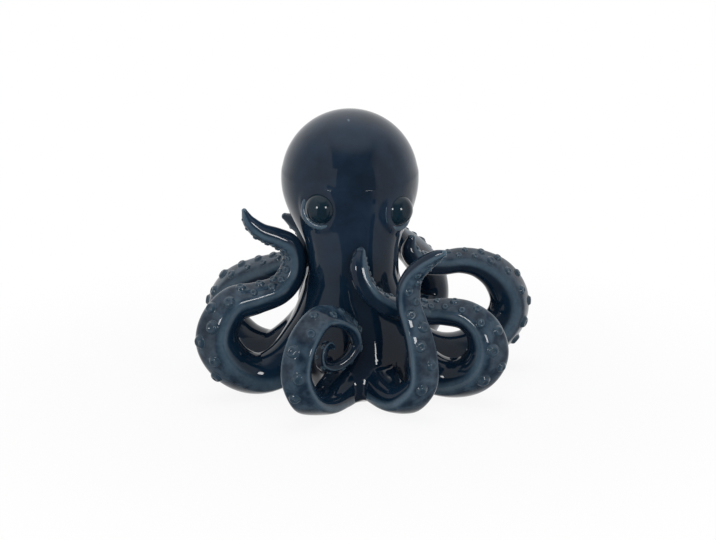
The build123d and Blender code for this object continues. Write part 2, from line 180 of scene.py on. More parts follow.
def armRows(name):
    heading, shares = arms[name]
    turn = math.radians(heading)
    outWay = np.array([math.sin(turn), -math.cos(turn), 0.0])
    acrossWay = np.array([math.cos(turn), math.sin(turn), 0.0])
    shares = np.array(shares)
    place = armSizes["reach"] * (shares[:, :1] * outWay + shares[:, 1:2] * acrossWay)
    place[:, 2] += armSizes["rise"] * shares[:, 2]
    turns = armTurns.get(name, [0] * len(shares))
    depths = armDepths.get(name, [1] * len(shares))
    return np.column_stack([place, armSizes["girth"] * shares[:, 3], turns, depths])


def armFrames(name, steps, untilRow=None):
    # The sucker side starts underneath and follows the arm, and is then turned by the arm's twist
    rows = armRows(name)
    last = (len(rows) - 1) * steps
    stations = smoothThrough(rows, np.arange(last + 1) / steps)
    place, half, depth = stations[:, :3], stations[:, 3], stations[:, 5]
    ahead, behind = np.vstack([place[1:], place[-1:]]), np.vstack([place[:1], place[:-1]])
    along = unit(ahead - behind)
    face = np.zeros_like(place)
    way = np.array([0.0, 0.0, -1.0])
    for number, forward in enumerate(along):
        way = unit(way - forward * way.dot(forward))
        face[number] = way
    turn = np.radians(stations[:, 4])[:, None]
    face = face * np.cos(turn) + np.cross(along, face) * np.sin(turn)
    frames = {"place": place, "half": half, "depth": depth, "along": along,
              "across": np.cross(along, face), "face": face}
    if untilRow:
        frames = {key: values[: int(untilRow * steps) + 1] for key, values in frames.items()}
    return frames


def roundOutline(name, count):
    # The whole outline as a closed smooth loop of evenly spaced points
    half = ridgedOutline if name in ridgedArms else softOutline
    loop = half + [(-across, out) for across, out in reversed(half[1:-1])]
    closed = [loop[-1]] + loop + loop[:2]
    steps = armSizes["outlineSteps"]
    fine = smoothThrough(closed, 1 + np.arange(len(loop) * steps + 1) / steps)
    lengths = np.concatenate([[0], np.cumsum(np.linalg.norm(np.diff(fine, axis=0), axis=1))])
    wanted = np.arange(count) / count * lengths[-1]
    return np.column_stack([np.interp(wanted, lengths, fine[:, k]) for k in (0, 1)])


# Mesh helpers


def makePiece(name, points, faces):
    # points in millimetres; faces as lists of point numbers
    mesh = bpy.data.meshes.new(name)
    mesh.from_pydata((np.asarray(points) * millimetre).tolist(), [], [list(map(int, f)) for f in faces])
    mesh.validate()
    mesh.update()
    mesh.shade_smooth()
    piece = bpy.data.objects.new(name, mesh)
    scene.collection.objects.link(piece)
    return piece


def ringFaces(rings, around, closedAlong=False):
    # Quads between rings of points that lie one after another in the list
    faces = []
    for ring in range(rings if closedAlong else rings - 1):
        low, high = ring * around, (ring + 1) % rings * around
        for k in range(around):
            n = (k + 1) % around
            faces.append((low + k, high + k, high + n, low + n))
    return faces


def cappedFaces(rings, around, first, second):
    # The same quads, closed by the points numbered first and second beyond the two end rings
    last = (rings - 1) * around
    faces = ringFaces(rings, around)
    for k in range(around):
        n = (k + 1) % around
        faces.append((first, k, n))
        faces.append((second, last + n, last + k))
    return faces


def readAll(items, key, width):
    values = np.empty(len(items) * width)
    items.foreach_get(key, values)
    return values.reshape(-1, width)


def markBends(piece, rounds):
    # Stores how sharply the clay bends at each point, in 1/mm: more than 0 on a ridge, less in a hollow
    mesh = piece.data
    count = len(mesh.vertices)
    points = readAll(mesh.vertices, "co", 3) / millimetre
    normals = readAll(mesh.vertices, "normal", 3)
    edges = np.empty(len(mesh.edges) * 2, int)
    mesh.edges.foreach_get("vertices", edges)
    a, b = edges.reshape(-1, 2).T
    span = points[b] - points[a]
    square = (span**2).sum(1) + 1e-9
    degree = np.maximum(np.bincount(a, minlength=count) + np.bincount(b, minlength=count), 1)
    toB = -2 * (span * normals[a]).sum(1) / square
    toA = 2 * (span * normals[b]).sum(1) / square
    bend = (np.bincount(a, toB, count) + np.bincount(b, toA, count)) / degree
    for _ in range(rounds):
        spread = np.bincount(a, bend[b], count) + np.bincount(b, bend[a], count)
        bend = 0.5 * bend + 0.5 * spread / degree
    layer = mesh.attributes.new("bend", "FLOAT", "POINT")
    layer.data.foreach_set("value", bend.astype(np.float32))


def faceOutwards(piece):
    # Turns every face round when the closed mesh measures less than nothing
    mesh = piece.data
    mesh.calc_loop_triangles()
    corners = np.empty(len(mesh.loop_triangles) * 3, int)
    mesh.loop_triangles.foreach_get("vertices", corners)
    points = readAll(mesh.vertices, "co", 3)
    a, b, c = (points[corners.reshape(-1, 3)[:, k]] for k in range(3))
    if (a * np.cross(b, c)).sum() < 0:
        mesh.flip_normals()


def placePiece(piece, node):
    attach(piece, "root")
    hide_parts(node)


def glazePiece(piece, node, glaze, rounds):
    # rounds: how often the marked bends are spread over their neighbours
    faceOutwards(piece)
    markBends(piece, rounds)
    piece.data.materials.append(glaze)
    placePiece(piece, node)


# Node trees

nodeLayout = {"inRow": 10, "width": 180, "height": 260}


def addNode(tree, kind, feeds=None, **values):
    # feeds: a value or another node's output for an input's name or number
    node = tree.nodes.new(kind)
    row, column = divmod(len(tree.nodes), nodeLayout["inRow"])
    node.location = column * nodeLayout["width"], -row * nodeLayout["height"]
    for key, value in values.items():
        setattr(node, key, value)
    for key, feed in (feeds or {}).items():
        if isinstance(feed, bpy.types.NodeSocket):
            tree.links.new(feed, node.inputs[key])
        else:
            node.inputs[key].default_value = feed
    return node


def workOut(tree, operation, *feeds):
    return addNode(tree, "ShaderNodeMath", dict(enumerate(feeds)), operation=operation).outputs[0]


def workOutVector(tree, operation, feeds):
    return addNode(tree, "ShaderNodeVectorMath", feeds, operation=operation).outputs


def readSpan(tree, value, span, low=0.0, high=1.0, easing="SMOOTHSTEP"):
    # From low at the start of the span to high at its end
    return addNode(tree, "ShaderNodeMapRange", {
        "Value": value, "From Min": span[0], "From Max": span[1], "To Min": low, "To Max": high,
    }, interpolation_type=easing).outputs["Result"]


def mixOf(tree, share, first, second, kind="RGBA"):
    return addNode(tree, "ShaderNodeMix", {"Factor": share, "A": first, "B": second},
                   data_type=kind).outputs["Result"]


def makeTree(name, kind, inputs, outputs):
    # A node group: gives back the tree, what comes in and the node that it ends in
    tree = bpy.data.node_groups.new(name, kind)
    for title, sort, value in inputs:
        socket = tree.interface.new_socket(title, in_out="INPUT", socket_type="NodeSocket" + sort)
        if value is not None:
            socket.default_value = value
    for title, sort in outputs:
        tree.interface.new_socket(title, in_out="OUTPUT", socket_type="NodeSocket" + sort)
    return tree, addNode(tree, "NodeGroupInput").outputs, addNode(tree, "NodeGroupOutput")


# Glaze materials

glazeInputs = [
    ("Pool And Shade Color", "Color", (0.0025, 0.006, 0.015, 1)),     # where it stands deep, and painted shade in hollows and round the foot
    ("Glaze Color", "Color", (0.006, 0.020, 0.042, 1)),
    ("Top Light Color", "Color", (0.012, 0.030, 0.059, 1)),       # high up: painted light on the head and the top of the trunk
    ("Outer Color", "Color", (0.058, 0.096, 0.138, 1)),     # patches on the sucker side of the arms
    ("Thin Color", "Color", (0.095, 0.155, 0.21, 1)),       # on ridges
    ("Thin From", "Float", 0.12),       # bend in 1/mm at which the glaze begins to thin
    ("Thin To", "Float", 0.45),
    ("Edge Thin", "Float", 5.5),
    # bend in 1/mm at which hollows are fully dark: pooled glaze and painted shade
    ("Pool And Shade At", "Float", -0.12),
    ("Cloud Scale", "Float", 45.0),
    ("Cloud Amount", "Float", 0.5),
    # painted shade round the foot of the trunk, where the arms shade it: its strength, top and reach in
    # metres
    ("Foot Shade Strength", "Float", 0.9),
    ("Foot Shade Top", "Float", 0.066),
    ("Foot Shade Reach", "Float", 0.058),
    ("Gloss Roughness", "Float", 0.05),
]

glazeLook = {
    "cloudDetail": 4.0,
    "cloudRoughness": 0.55,
    "cloudShift": 0.16,             # how far the clouds shift the bend, in 1/mm
    "cloudSpan": (0.35, 0.65),
    "speckScale": 520.0,            # small bubbles and specks in the thin glaze
    "speckDetail": 3.0,
    "speckSpan": (0.3, 0.7),
    "speckLeast": 0.75,
    "speckHeight": 0.04,
    # bend in 1/mm from which hollows begin to darken, as pooled glaze and painted shade
    "poolShadeFrom": 0.02,
    # the painted shade round the foot is full nearer the middle and lower than these, in metres
    "footShadeNear": 0.042,
    "footShadeLow": 0.028,
    "mottleScale": 115.0,
    "mottleDetail": 3.0,
    "mottleSpan": (0.38, 0.62),
    "mottleLeast": 0.12,
    # heights in metres over which the painted light near the top comes in
    "topLightSpan": (0.085, 0.13),
    "rippleScale": 110.0,
    "rippleDetail": 1.0,
    "thinRoughness": 0.10,
    "ior": 1.52,
    "bumpDistance": 0.0006,
    "bump": 0.16,
    "suckerBump": 0.12,
    "eyeBump": 0.03,
}


def glazeGroup():
    # Glaze that runs off ridges and pools in hollows, with painted shade in hollows and round the foot of
    # the trunk, painted light high up, cloudy patches and slow ripples
    look = glazeLook
    tree, given, result = makeTree("potterGlaze", "ShaderNodeTree", glazeInputs,
                                   [("Color", "Color"), ("Roughness", "Float"), ("Height", "Float")])
    bend = addNode(tree, "ShaderNodeAttribute", attribute_name="bend").outputs["Fac"]
    outer = addNode(tree, "ShaderNodeAttribute", attribute_name="outer").outputs["Fac"]
    where = addNode(tree, "ShaderNodeTexCoord").outputs["Object"]
    level = addNode(tree, "ShaderNodeSeparateXYZ", {0: where}).outputs["Z"]

    def noise(scale, **others):
        feeds = {"Vector": where, "Scale": scale, **others}
        return addNode(tree, "ShaderNodeTexNoise", feeds).outputs["Fac"]

    clouds = noise(given["Cloud Scale"], Detail=look["cloudDetail"], Roughness=look["cloudRoughness"])
    specks = noise(look["speckScale"], Detail=look["speckDetail"])

    # Clouds shift where the glaze counts as thin, so that the ridges break unevenly
    shifted = workOut(tree, "MULTIPLY_ADD", clouds, look["cloudShift"], bend)
    centred = workOut(tree, "SUBTRACT", shifted, look["cloudShift"] / 2)
    thin = readSpan(tree, centred, (given["Thin From"], given["Thin To"]))
    # The edge of an arm's sucker side is thin too: outer is half way there
    edge = workOut(tree, "MULTIPLY", outer, workOut(tree, "SUBTRACT", 1.0, outer))
    edge = workOut(tree, "MULTIPLY", workOut(tree, "MULTIPLY", edge, given["Edge Thin"]), clouds)
    speckled = readSpan(tree, specks, look["speckSpan"], look["speckLeast"], 1.0, "LINEAR")
    broken = workOut(tree, "MULTIPLY", workOut(tree, "MAXIMUM", thin, edge), speckled)

    # It is darker in hollows, where it stands deep and where shade is painted, in patches, and round the
    # foot of the trunk, where the shade of the arms is painted
    pooledAndShaded = readSpan(tree, bend, (look["poolShadeFrom"], given["Pool And Shade At"]))
    patchy = readSpan(tree, clouds, look["cloudSpan"], 0.0, given["Cloud Amount"], "LINEAR")
    flat = workOutVector(tree, "MULTIPLY", {0: where, 1: (1, 1, 0)})[0]
    reach = workOutVector(tree, "LENGTH", {0: flat})["Value"]
    # painted shade round the foot of the trunk, full near the middle and low down
    innerShade = readSpan(tree, reach, (look["footShadeNear"], given["Foot Shade Reach"]), 1.0, 0.0)
    lower = readSpan(tree, level, (look["footShadeLow"], given["Foot Shade Top"]), 1.0, 0.0)
    foot = workOut(tree, "MULTIPLY", workOut(tree, "MULTIPLY", innerShade, lower), given["Foot Shade Strength"])
    deep = workOut(tree, "MAXIMUM", workOut(tree, "MAXIMUM", pooledAndShaded, patchy), foot)

    # Near the top it is paler, as painted light on the head and the top of the trunk, and the sucker side
    # has cloudy patches of a paler glaze
    mottle = noise(look["mottleScale"], Detail=look["mottleDetail"])
    patches = readSpan(tree, mottle, look["mottleSpan"], look["mottleLeast"], 1.0, "LINEAR")
    coat = mixOf(tree, readSpan(tree, level, look["topLightSpan"]), given["Glaze Color"], given["Top Light Color"])
    coat = mixOf(tree, workOut(tree, "MULTIPLY", outer, patches), coat, given["Outer Color"])
    coat = mixOf(tree, deep, coat, given["Pool And Shade Color"])
    ripples = noise(look["rippleScale"], Detail=look["rippleDetail"])
    for title, feed in (
        ("Color", mixOf(tree, broken, coat, given["Thin Color"])),
        ("Roughness", workOut(tree, "MULTIPLY_ADD", broken, look["thinRoughness"],
                              given["Gloss Roughness"])),
        ("Height", workOut(tree, "MULTIPLY_ADD", specks, look["speckHeight"], ripples)),
    ):
        tree.links.new(feed, result.inputs[title])
    return tree


potterGlaze = glazeGroup()


def glazeMaterial(name, bumpStrength, ownValues):
    # One glossy fired glaze over the shared group, with its own colours
    material = bpy.data.materials.new(name)
    material.use_nodes = True
    tree = material.node_tree
    glaze = addNode(tree, "ShaderNodeGroup", ownValues, node_tree=potterGlaze)
    bump = addNode(tree, "ShaderNodeBump", {
        "Strength": bumpStrength, "Distance": glazeLook["bumpDistance"], "Height": glaze.outputs["Height"]})
    shader = tree.nodes["Principled BSDF"]
    shader.inputs["IOR"].default_value = glazeLook["ior"]
    tree.links.new(glaze.outputs["Color"], shader.inputs["Base Color"])
    tree.links.new(glaze.outputs["Roughness"], shader.inputs["Roughness"])
    tree.links.new(bump.outputs["Normal"], shader.inputs["Normal"])
    return material


navyGlaze = glazeMaterial("navyGlaze", glazeLook["bump"], {})
suckerGlaze = glazeMaterial("suckerGlaze", glazeLook["suckerBump"], {
    "Thin From": 0.02, "Thin To": 1.3, "Thin Color": (0.090, 0.145, 0.195, 1),
    "Glaze Color": (0.034, 0.064, 0.096, 1), "Top Light Color": (0.034, 0.064, 0.096, 1),
    "Pool And Shade Color": (0.012, 0.027, 0.045, 1), "Pool And Shade At": -0.6})
eyeGlaze = glazeMaterial("eyeGlaze", glazeLook["eyeBump"], {
    "Thin From": 0.5, "Thin To": 2.0, "Glaze Color": (0.006, 0.022, 0.036, 1),
    "Top Light Color": (0.006, 0.022, 0.036, 1), "Gloss Roughness": 0.02})
print("glazes made")


# Head and trunk

bodySizes = {
    "headRadius": 47.5,
    "headCentre": (-4.3, 8.0, 149.0),
    "trunkRadius": 30.0,
    "trunkStations": 321,
    "neckBlend": 20.0,      # how softly the head runs into the trunk
    "rootBlend": 15.0,      # how softly the arms run into the trunk
    "webBlend": 13.0,       # how softly neighbouring roots run into each other
    "rootProud": 0.35,      # the skin stands over the arms near the trunk
    "rootSunk": 0.8,        # and lies under them further out
    "rootRows": 3.1,
    "rootSteps": 8,
    "outlinePoints": 720,
    "proudUntilRow": 0.9,
    "sunkFromRow": 2.6,
    "marginShare": 1.3,
    "farAway": 50.0,        # stands for any distance that makes no difference
    "trunkSlope": 0.97,     # a sloping side is nearer than its level distance says
    "rootSlope": 0.95,
    "sliceHalf": 0.5,
    "ventRadius": 4.0,
    "ventSetback": 14.0,
    "ventDepth": 10.0,
    "voxel": 1.15,
    "band": 4.0,            # distances are kept up to this far from the skin
    "gridMargin": 18.0,
    "gridFoot": -4.3,
    "slideAbove": 1.5,      # lower points stay, so that the foot keeps its edge
    "slideMost": 0.6,
    "slideRounds": 2,
    "slopeStep": 0.05,
    "slopeLeast": 0.25,
}

# Trunk from foot to neck: height of the head's height, radius of the trunk's, and shares of the
# head's shift and setback
trunkShares = [
    (0.00, 1.10, 0.00, 0.00), (0.12, 1.06, 0.10, -0.30), (0.30, 1.04, 0.30, -0.72),
    (0.48, 1.04, 0.40, -0.98), (0.62, 1.04, 0.40, -1.40), (0.72, 1.03, 0.45, -1.38),
    (0.80, 1.04, 0.55, -0.98), (0.88, 1.06, 0.65, -0.46), (0.94, 1.08, 0.80, 0.10),
]

eyeSizes = {
    "ballRadius": 11.0,
    "ballAround": 64,
    "ballRows": 40,
    "moundRadius": 13.6,
    "moundFront": 0.6,
    "moundEdge": 4.0,
    "moundBlend": 6.0,
    "lidRadius": 12.3,
    "lidGirth": 2.1,
    "lidForward": 1.5,
    "lidAround": 20,
    "lidCount": 96,
    "thinSink": 0.9,        # a thin stretch of lid lies further back
    "foldOut": 2.5,
    "foldForward": 0.9,
    "lidPale": 0.62,        # how far the lids' glaze is the paler one of the arms' outer side
    # Girth round the ball as degrees and share: 0 is the outer side of the face, 90 the top and 180
    # the nose side
    "lid": [(0, 1.1), (40, 0.7), (90, 0.55), (130, 0.4), (165, 0.15), (200, 0.15), (235, 0.5), (265, 1.0),
            (300, 1.45), (335, 1.4)],
    "fold": [(0, 0.1), (40, 0.36), (80, 0.42), (120, 0.36), (160, 0.1), (270, 0.05)],
}

# Bearing on the head, drop below its middle, and bearing of the gaze, in degrees
eyes = {"left": (-24.5, 15.5, -30.0), "right": (46.0, 20.0, 59.0)}


def eyeFrame(name):
    bearing, drop, gaze = (math.radians(angle) for angle in eyes[name])
    level = math.cos(drop)
    way = np.array([math.sin(bearing) * level, -math.cos(bearing) * level, -math.sin(drop)])
    centre = np.array(bodySizes["headCentre"]) + bodySizes["headRadius"] * way
    look = np.array([math.sin(gaze), -math.cos(gaze), 0.0])
    return centre, look


def smoothMin(a, b, blend):
    overlap = np.maximum(blend - np.abs(a - b), 0) / blend
    return np.minimum(a, b) - overlap**2 * blend / 4


class RootField:
    # Distance to the thick start of an arm, for the skin that joins it to the trunk
    def __init__(self, name):
        sizes = bodySizes
        self.frames = armFrames(name, sizes["rootSteps"], sizes["rootRows"])
        rows = np.arange(len(self.frames["half"])) / sizes["rootSteps"]
        fade = (rows - sizes["proudUntilRow"]) / (sizes["sunkFromRow"] - sizes["proudUntilRow"])
        fade = np.clip(fade, 0, 1)
        fade = fade * fade * (3 - 2 * fade)
        self.frames["swell"] = sizes["rootProud"] * (1 - fade) - sizes["rootSunk"] * fade
        outline = roundOutline(name, sizes["outlinePoints"])
        angles = np.arctan2(outline[:, 1], outline[:, 0])
        order = np.argsort(angles)
        self.angles, self.radii = angles[order], np.linalg.norm(outline, axis=1)[order]
        margin = sizes["marginShare"] * self.frames["half"].max() + sizes["rootBlend"]
        self.low = self.frames["place"].min(0) - margin
        self.high = self.frames["place"].max(0) + margin

    def distance(self, points):
        result = np.full(len(points), bodySizes["farAway"])
        inside = np.all((points > self.low) & (points < self.high), axis=1)
        near = points[inside]
        if not len(near):
            return result
        place = self.frames["place"]
        best = np.full(len(near), np.inf)
        index = np.zeros(len(near), int)
        for number, spot in enumerate(place):
            square = ((near - spot) ** 2).sum(1)
            closer = square < best
            best[closer] = square[closer]
            index[closer] = number
        ahead = ((near - place[index]) * self.frames["along"][index]).sum(1)
        # Between two frames the place is read from the line through them, so that the skin is smooth
        last = len(place) - 1
        gap = np.linalg.norm(np.diff(place, axis=0), axis=1).mean()
        position = np.clip(index + ahead / gap, 0, last)
        lower = np.minimum(position.astype(int), last - 1)
        part = position - lower

        def read(key):
            values = self.frames[key]
            share = part if values.ndim == 1 else part[:, None]
            return values[lower] * (1 - share) + values[lower + 1] * share

        offset = near - read("place")
        across, face, ahead = ((offset * read(key)).sum(1) for key in ("across", "face", "along"))
        half = read("half")
        across, face = across / half, crownOut - (crownOut - face / half) / read("depth")
        radius = np.interp(np.arctan2(face, across), self.angles, self.radii, period=2 * math.pi)
        flat = (np.hypot(across, face) - radius) * half * bodySizes["rootSlope"] - read("swell")
        beyond = np.maximum(np.abs(ahead) - bodySizes["sliceHalf"], 0)
        capped = np.hypot(np.maximum(flat, 0), beyond) + np.minimum(flat, 0)
        result[inside] = np.where(beyond > 0, capped, flat)
        return result


rootFields = [RootField(name) for name in arms]
trunkLine = smoothThrough([(bodySizes["headCentre"][2] * height, bodySizes["trunkRadius"] * radius,
                            bodySizes["headCentre"][0] * shift, bodySizes["headCentre"][1] * setback)
                           for height, radius, shift, setback in trunkShares],
                          np.linspace(0, len(trunkShares) - 1, bodySizes["trunkStations"]))


def bodyField(points):
    # Distance to the figurine's skin without the outer arms: less than 0 inside
    sizes = bodySizes
    height = points[:, 2]
    radius, middleX, middleY = (np.interp(height, trunkLine[:, 0], trunkLine[:, k]) for k in (1, 2, 3))
    trunk = (np.hypot(points[:, 0] - middleX, points[:, 1] - middleY) - radius) * sizes["trunkSlope"]
    trunk = np.maximum(trunk, height - trunkLine[-1, 0])
    head = np.linalg.norm(points - np.array(sizes["headCentre"]), axis=1) - sizes["headRadius"]
    roots = np.full(len(points), sizes["farAway"])
    for field in rootFields:
        roots = smoothMin(roots, field.distance(points), sizes["webBlend"])
    skin = smoothMin(smoothMin(trunk, head, sizes["neckBlend"]), roots, sizes["rootBlend"])
    for name in eyes:
        centre, look = eyeFrame(name)
        offset = points - centre
        ball = np.linalg.norm(offset, axis=1) - eyeSizes["moundRadius"]
        front = offset @ look - eyeSizes["moundFront"]
        mound = -smoothMin(-ball, -front, eyeSizes["moundEdge"])
        skin = smoothMin(skin, mound, eyeSizes["moundBlend"])
    vent = np.hypot(points[:, 0], points[:, 1] - sizes["ventSetback"]) - sizes["ventRadius"]
    vent = np.maximum(vent, height - sizes["ventDepth"])
    return np.maximum(np.maximum(skin, -vent), -height)


def skinPiece():
    sizes, voxel, band = bodySizes, bodySizes["voxel"], bodySizes["band"]
    reach = max(np.abs(field.frames["place"][:, :2]).max() for field in rootFields) + sizes["gridMargin"]
    top = sizes["headCentre"][2] + sizes["headRadius"] + band
    spots = [np.arange(low, high, voxel) for low, high in
             ((-reach, reach), (-reach, reach), (sizes["gridFoot"], top))]
    values = np.empty([len(s) for s in spots], np.float32)
    flatX, flatY = np.meshgrid(spots[0], spots[1], indexing="ij")
    for level, height in enumerate(spots[2]):
        layer = np.column_stack([flatX.ravel(), flatY.ravel(), np.full(flatX.size, height)])
        values[:, :, level] = np.clip(bodyField(layer), -band, band).reshape(flatX.shape)
    grid = openvdb.FloatGrid(band)
    grid.copyFromArray(values)
    points, triangles, quads = grid.convertToPolygons(isovalue=0.0, adaptivity=0.0)
    points = np.asarray(points, float) * voxel + np.array([s[0] for s in spots])
    # Each point slides onto the exact skin, apart from those at the foot's and the vent's edges
    step, most = sizes["slopeStep"], sizes["slideMost"]
    for _ in range(sizes["slideRounds"]):
        here = bodyField(points)
        slope = np.column_stack([bodyField(points + way) - here for way in np.eye(3) * step]) / step
        strength = np.maximum((slope**2).sum(1), sizes["slopeLeast"])
        move = slope * (here / strength)[:, None]
        points -= np.where((points[:, 2] > sizes["slideAbove"])[:, None], np.clip(move, -most, most), 0)
    points[:, 2] = np.maximum(points[:, 2], 0)
    return makePiece("body_skin", points, [tuple(f) for f in triangles] + [tuple(f) for f in quads])


bodySkin = skinPiece()
glazePiece(bodySkin, "body", navyGlaze, 3)
print("head and trunk made:", len(bodySkin.data.polygons), "faces")


# Arms


def paleShares(name, outline, rings):
    # How far each point lies on the sucker side, where the glaze is paler; last the two end points
    sizes = armSizes
    side = np.interp(outline[:, 1], sizes["paleSpan"], [0, 1])
    # On the front left arm the paler glaze fades out before the inner coil, as painted shade inside the curl
    fadeEnd = sizes["paleUntilShadeRow"].get(name, rings)
    start, full = sizes["paleRows"]
    grow = np.interp(np.arange(rings) / sizes["stepsPerRow"],
                     [start, full, fadeEnd - sizes["paleFade"], fadeEnd], [0, 1, 1, 0])
    tip = np.tile(side, sizes["tipRings"] - 1)
    return np.concatenate([(grow[:, None] * side).ravel(), tip, [0, 0.5]])


def storeOuter(piece, values):
    layer = piece.data.attributes.new("outer", "FLOAT", "POINT")
    layer.data.foreach_set("value", values.astype(np.float32))


def armPiece(name):
    around, tipRings = armSizes["pointsAround"], armSizes["tipRings"]
    outline = roundOutline(name, around)
    frames = armFrames(name, armSizes["stepsPerRow"])
    place, half, along = frames["place"], frames["half"], frames["along"]
    rings = []
    for k in range(len(half)):
        level = crownOut - (crownOut - outline[:, 1:]) * frames["depth"][k]
        rings.append(place[k] + half[k] * (outline[:, :1] * frames["across"][k] + level * frames["face"][k]))
    for ring in range(1, tipRings):
        angle = ring / tipRings * math.pi / 2
        middle = place[-1] + along[-1] * half[-1] * math.sin(angle)
        rings.append(middle + math.cos(angle) * (rings[len(half) - 1] - place[-1]))
    points = np.vstack(rings + [place[:1], place[-1:] + along[-1] * half[-1]])
    points[:, 2] = np.maximum(points[:, 2], 0)
    faces = cappedFaces(len(rings), around, len(points) - 2, len(points) - 1)
    piece = makePiece("arm_" + name + "_skin", points, faces)
    storeOuter(piece, paleShares(name, outline, len(half)))
    glazePiece(piece, "arm_" + name, navyGlaze, 2)


for name in arms:
    armPiece(name)
print("arms made")


# Suckers

suckerSizes = {
    "radius": 5.9,          # at an arm's root, and less as the arm thins
    "wideGrowth": 1.35,     # larger by this on the two front arms
    "rimHeight": 2.7,
    "dishDepth": 0.6,
    "bite": 1.8,
    # In half thicknesses of the arm: off the middle line, out from it, and along it to the next
    "side": 0.33,
    "seat": 0.90,
    "pitch": 0.60,
    "widePitch": 1.15,      # on the two front arms
    "lift": 0.55,           # and no sucker where the arm's face is closer to the table
    "end": 0.97,            # share of the arm's length with suckers
    "tilt": 0.15,
    "walkSteps": 12,
    "unevenness": 0.28,
    "seed": 7,
    "segments": 28,
    "rings": 24,
    "upperFrom": 0.0001,    # the ball's points above this make the top, the others the seat
    # Height of the rim and depth of the dish, as shares, against the distance from the middle
    "rim": [(0.30, 1.0), (0.52, 1.0), (0.66, 0.82), (0.80, 0.42), (0.91, 0.12)],
    "dish": [(0.18, 0.80), (0.34, 0.28), (0.48, 0.0)],
}


def suckerSpots(name):
    # Where each sucker sits, which way it faces and how large it is, from root to tip
    sizes = suckerSizes
    frames = armFrames(name, sizes["walkSteps"])
    place, half, face, across = frames["place"], frames["half"], frames["face"], frames["across"]
    last = int(len(place) * sizes["end"])
    wide = name in ridgedArms
    pitch, growth = (sizes["widePitch"], sizes["wideGrowth"]) if wide else (sizes["pitch"], 1.0)
    spots, ways, scales = [], [], []
    travelled, side = 0.0, 1
    for k in range(1, last):
        travelled += np.linalg.norm(place[k] - place[k - 1])
        foot = place[k] + face[k] * half[k]
        outside = math.hypot(place[k][0], place[k][1]) > bodySizes["trunkRadius"] + half[k]
        if foot[2] < half[k] * sizes["lift"] or not outside:
            travelled = 0.0
            continue
        if travelled < half[k] * pitch:
            continue
        travelled, side = 0.0, -side
        spots.append(place[k] + half[k] * (across[k] * side * sizes["side"] + face[k] * sizes["seat"]))
        ways.append(unit(face[k] + across[k] * side * sizes["tilt"]))
        scales.append(growth * 2 * half[k] / armSizes["girth"])
    return spots, ways, scales


suckerInputs = [
    ("Geometry", "Geometry", None), ("Radius", "Float", 0.0055), ("Rim Height", "Float", 0.0017),
    ("Dish Depth", "Float", 0.0012), ("Bite", "Float", 0.0016), ("Unevenness", "Float", 0.07),
    ("Seed", "Int", 7), ("Glaze", "Material", None),
]


def suckerTree():
    # Puts one dished disc on each point, turned to the point's way and scaled by its size
    sizes = suckerSizes
    tree, given, result = makeTree("pressedSuckers", "GeometryNodeTree", suckerInputs,
                                   [("Geometry", "Geometry")])
    ball = addNode(tree, "GeometryNodeMeshUVSphere", {
        "Segments": sizes["segments"], "Rings": sizes["rings"], "Radius": 1.0}).outputs["Mesh"]
    position = addNode(tree, "GeometryNodeInputPosition").outputs[0]
    split = addNode(tree, "ShaderNodeSeparateXYZ", {0: position}).outputs
    flat = addNode(tree, "ShaderNodeCombineXYZ", {"X": split["X"], "Y": split["Y"]}).outputs[0]
    distance = workOutVector(tree, "LENGTH", {0: flat})["Value"]

    def readCurve(places):
        # From 1 in the middle through the given places to 0 at the edge
        node = addNode(tree, "ShaderNodeFloatCurve", {"Value": distance})
        curve = node.mapping.curves[0]
        for place, height in places:
            curve.points.new(place, height)
        curve.points[0].location = (0.0, 1.0)
        curve.points[-1].location = (1.0, 0.0)
        node.mapping.update()
        return node.outputs["Value"]

    high = workOut(tree, "MULTIPLY", readCurve(sizes["rim"]), given["Rim Height"])
    deep = workOut(tree, "MULTIPLY", readCurve(sizes["dish"]), given["Dish Depth"])
    top = workOut(tree, "SUBTRACT", high, deep)
    below = workOut(tree, "MULTIPLY", split["Z"], given["Bite"])
    upper = workOut(tree, "GREATER_THAN", split["Z"], sizes["upperFrom"])
    wide = workOutVector(tree, "SCALE", {0: flat, "Scale": given["Radius"]})[0]
    lift = addNode(tree, "ShaderNodeCombineXYZ", {"Z": mixOf(tree, upper, below, top, "FLOAT")}).outputs[0]
    shaped = addNode(tree, "GeometryNodeSetPosition", {
        "Geometry": ball, "Position": workOutVector(tree, "ADD", {0: wide, 1: lift})[0]}).outputs[0]
    soft = addNode(tree, "GeometryNodeSetShadeSmooth", {"Geometry": shaped}).outputs[0]

    def stored(name, kind):
        node = addNode(tree, "GeometryNodeInputNamedAttribute", {"Name": name}, data_type=kind)
        return node.outputs["Attribute"]

    turn = addNode(tree, "FunctionNodeAlignRotationToVector", {"Vector": stored("way", "FLOAT_VECTOR")},
                   axis="Z")
    least = workOut(tree, "SUBTRACT", 1.0, given["Unevenness"])
    # 2 and 3 are the least and the most of a random number
    chance = addNode(tree, "FunctionNodeRandomValue", {2: least, 3: 1.0, "Seed": given["Seed"]},
                     data_type="FLOAT")
    placed = addNode(tree, "GeometryNodeInstanceOnPoints", {
        "Points": given["Geometry"], "Instance": soft, "Rotation": turn.outputs[0],
        "Scale": workOut(tree, "MULTIPLY", stored("size", "FLOAT"), chance.outputs[1])}).outputs[0]
    real = addNode(tree, "GeometryNodeRealizeInstances", {0: placed}).outputs[0]
    glazed = addNode(tree, "GeometryNodeSetMaterial", {"Geometry": real, "Material": given["Glaze"]})
    tree.links.new(glazed.outputs[0], result.inputs[0])
    return tree


pressedSuckers = suckerTree()


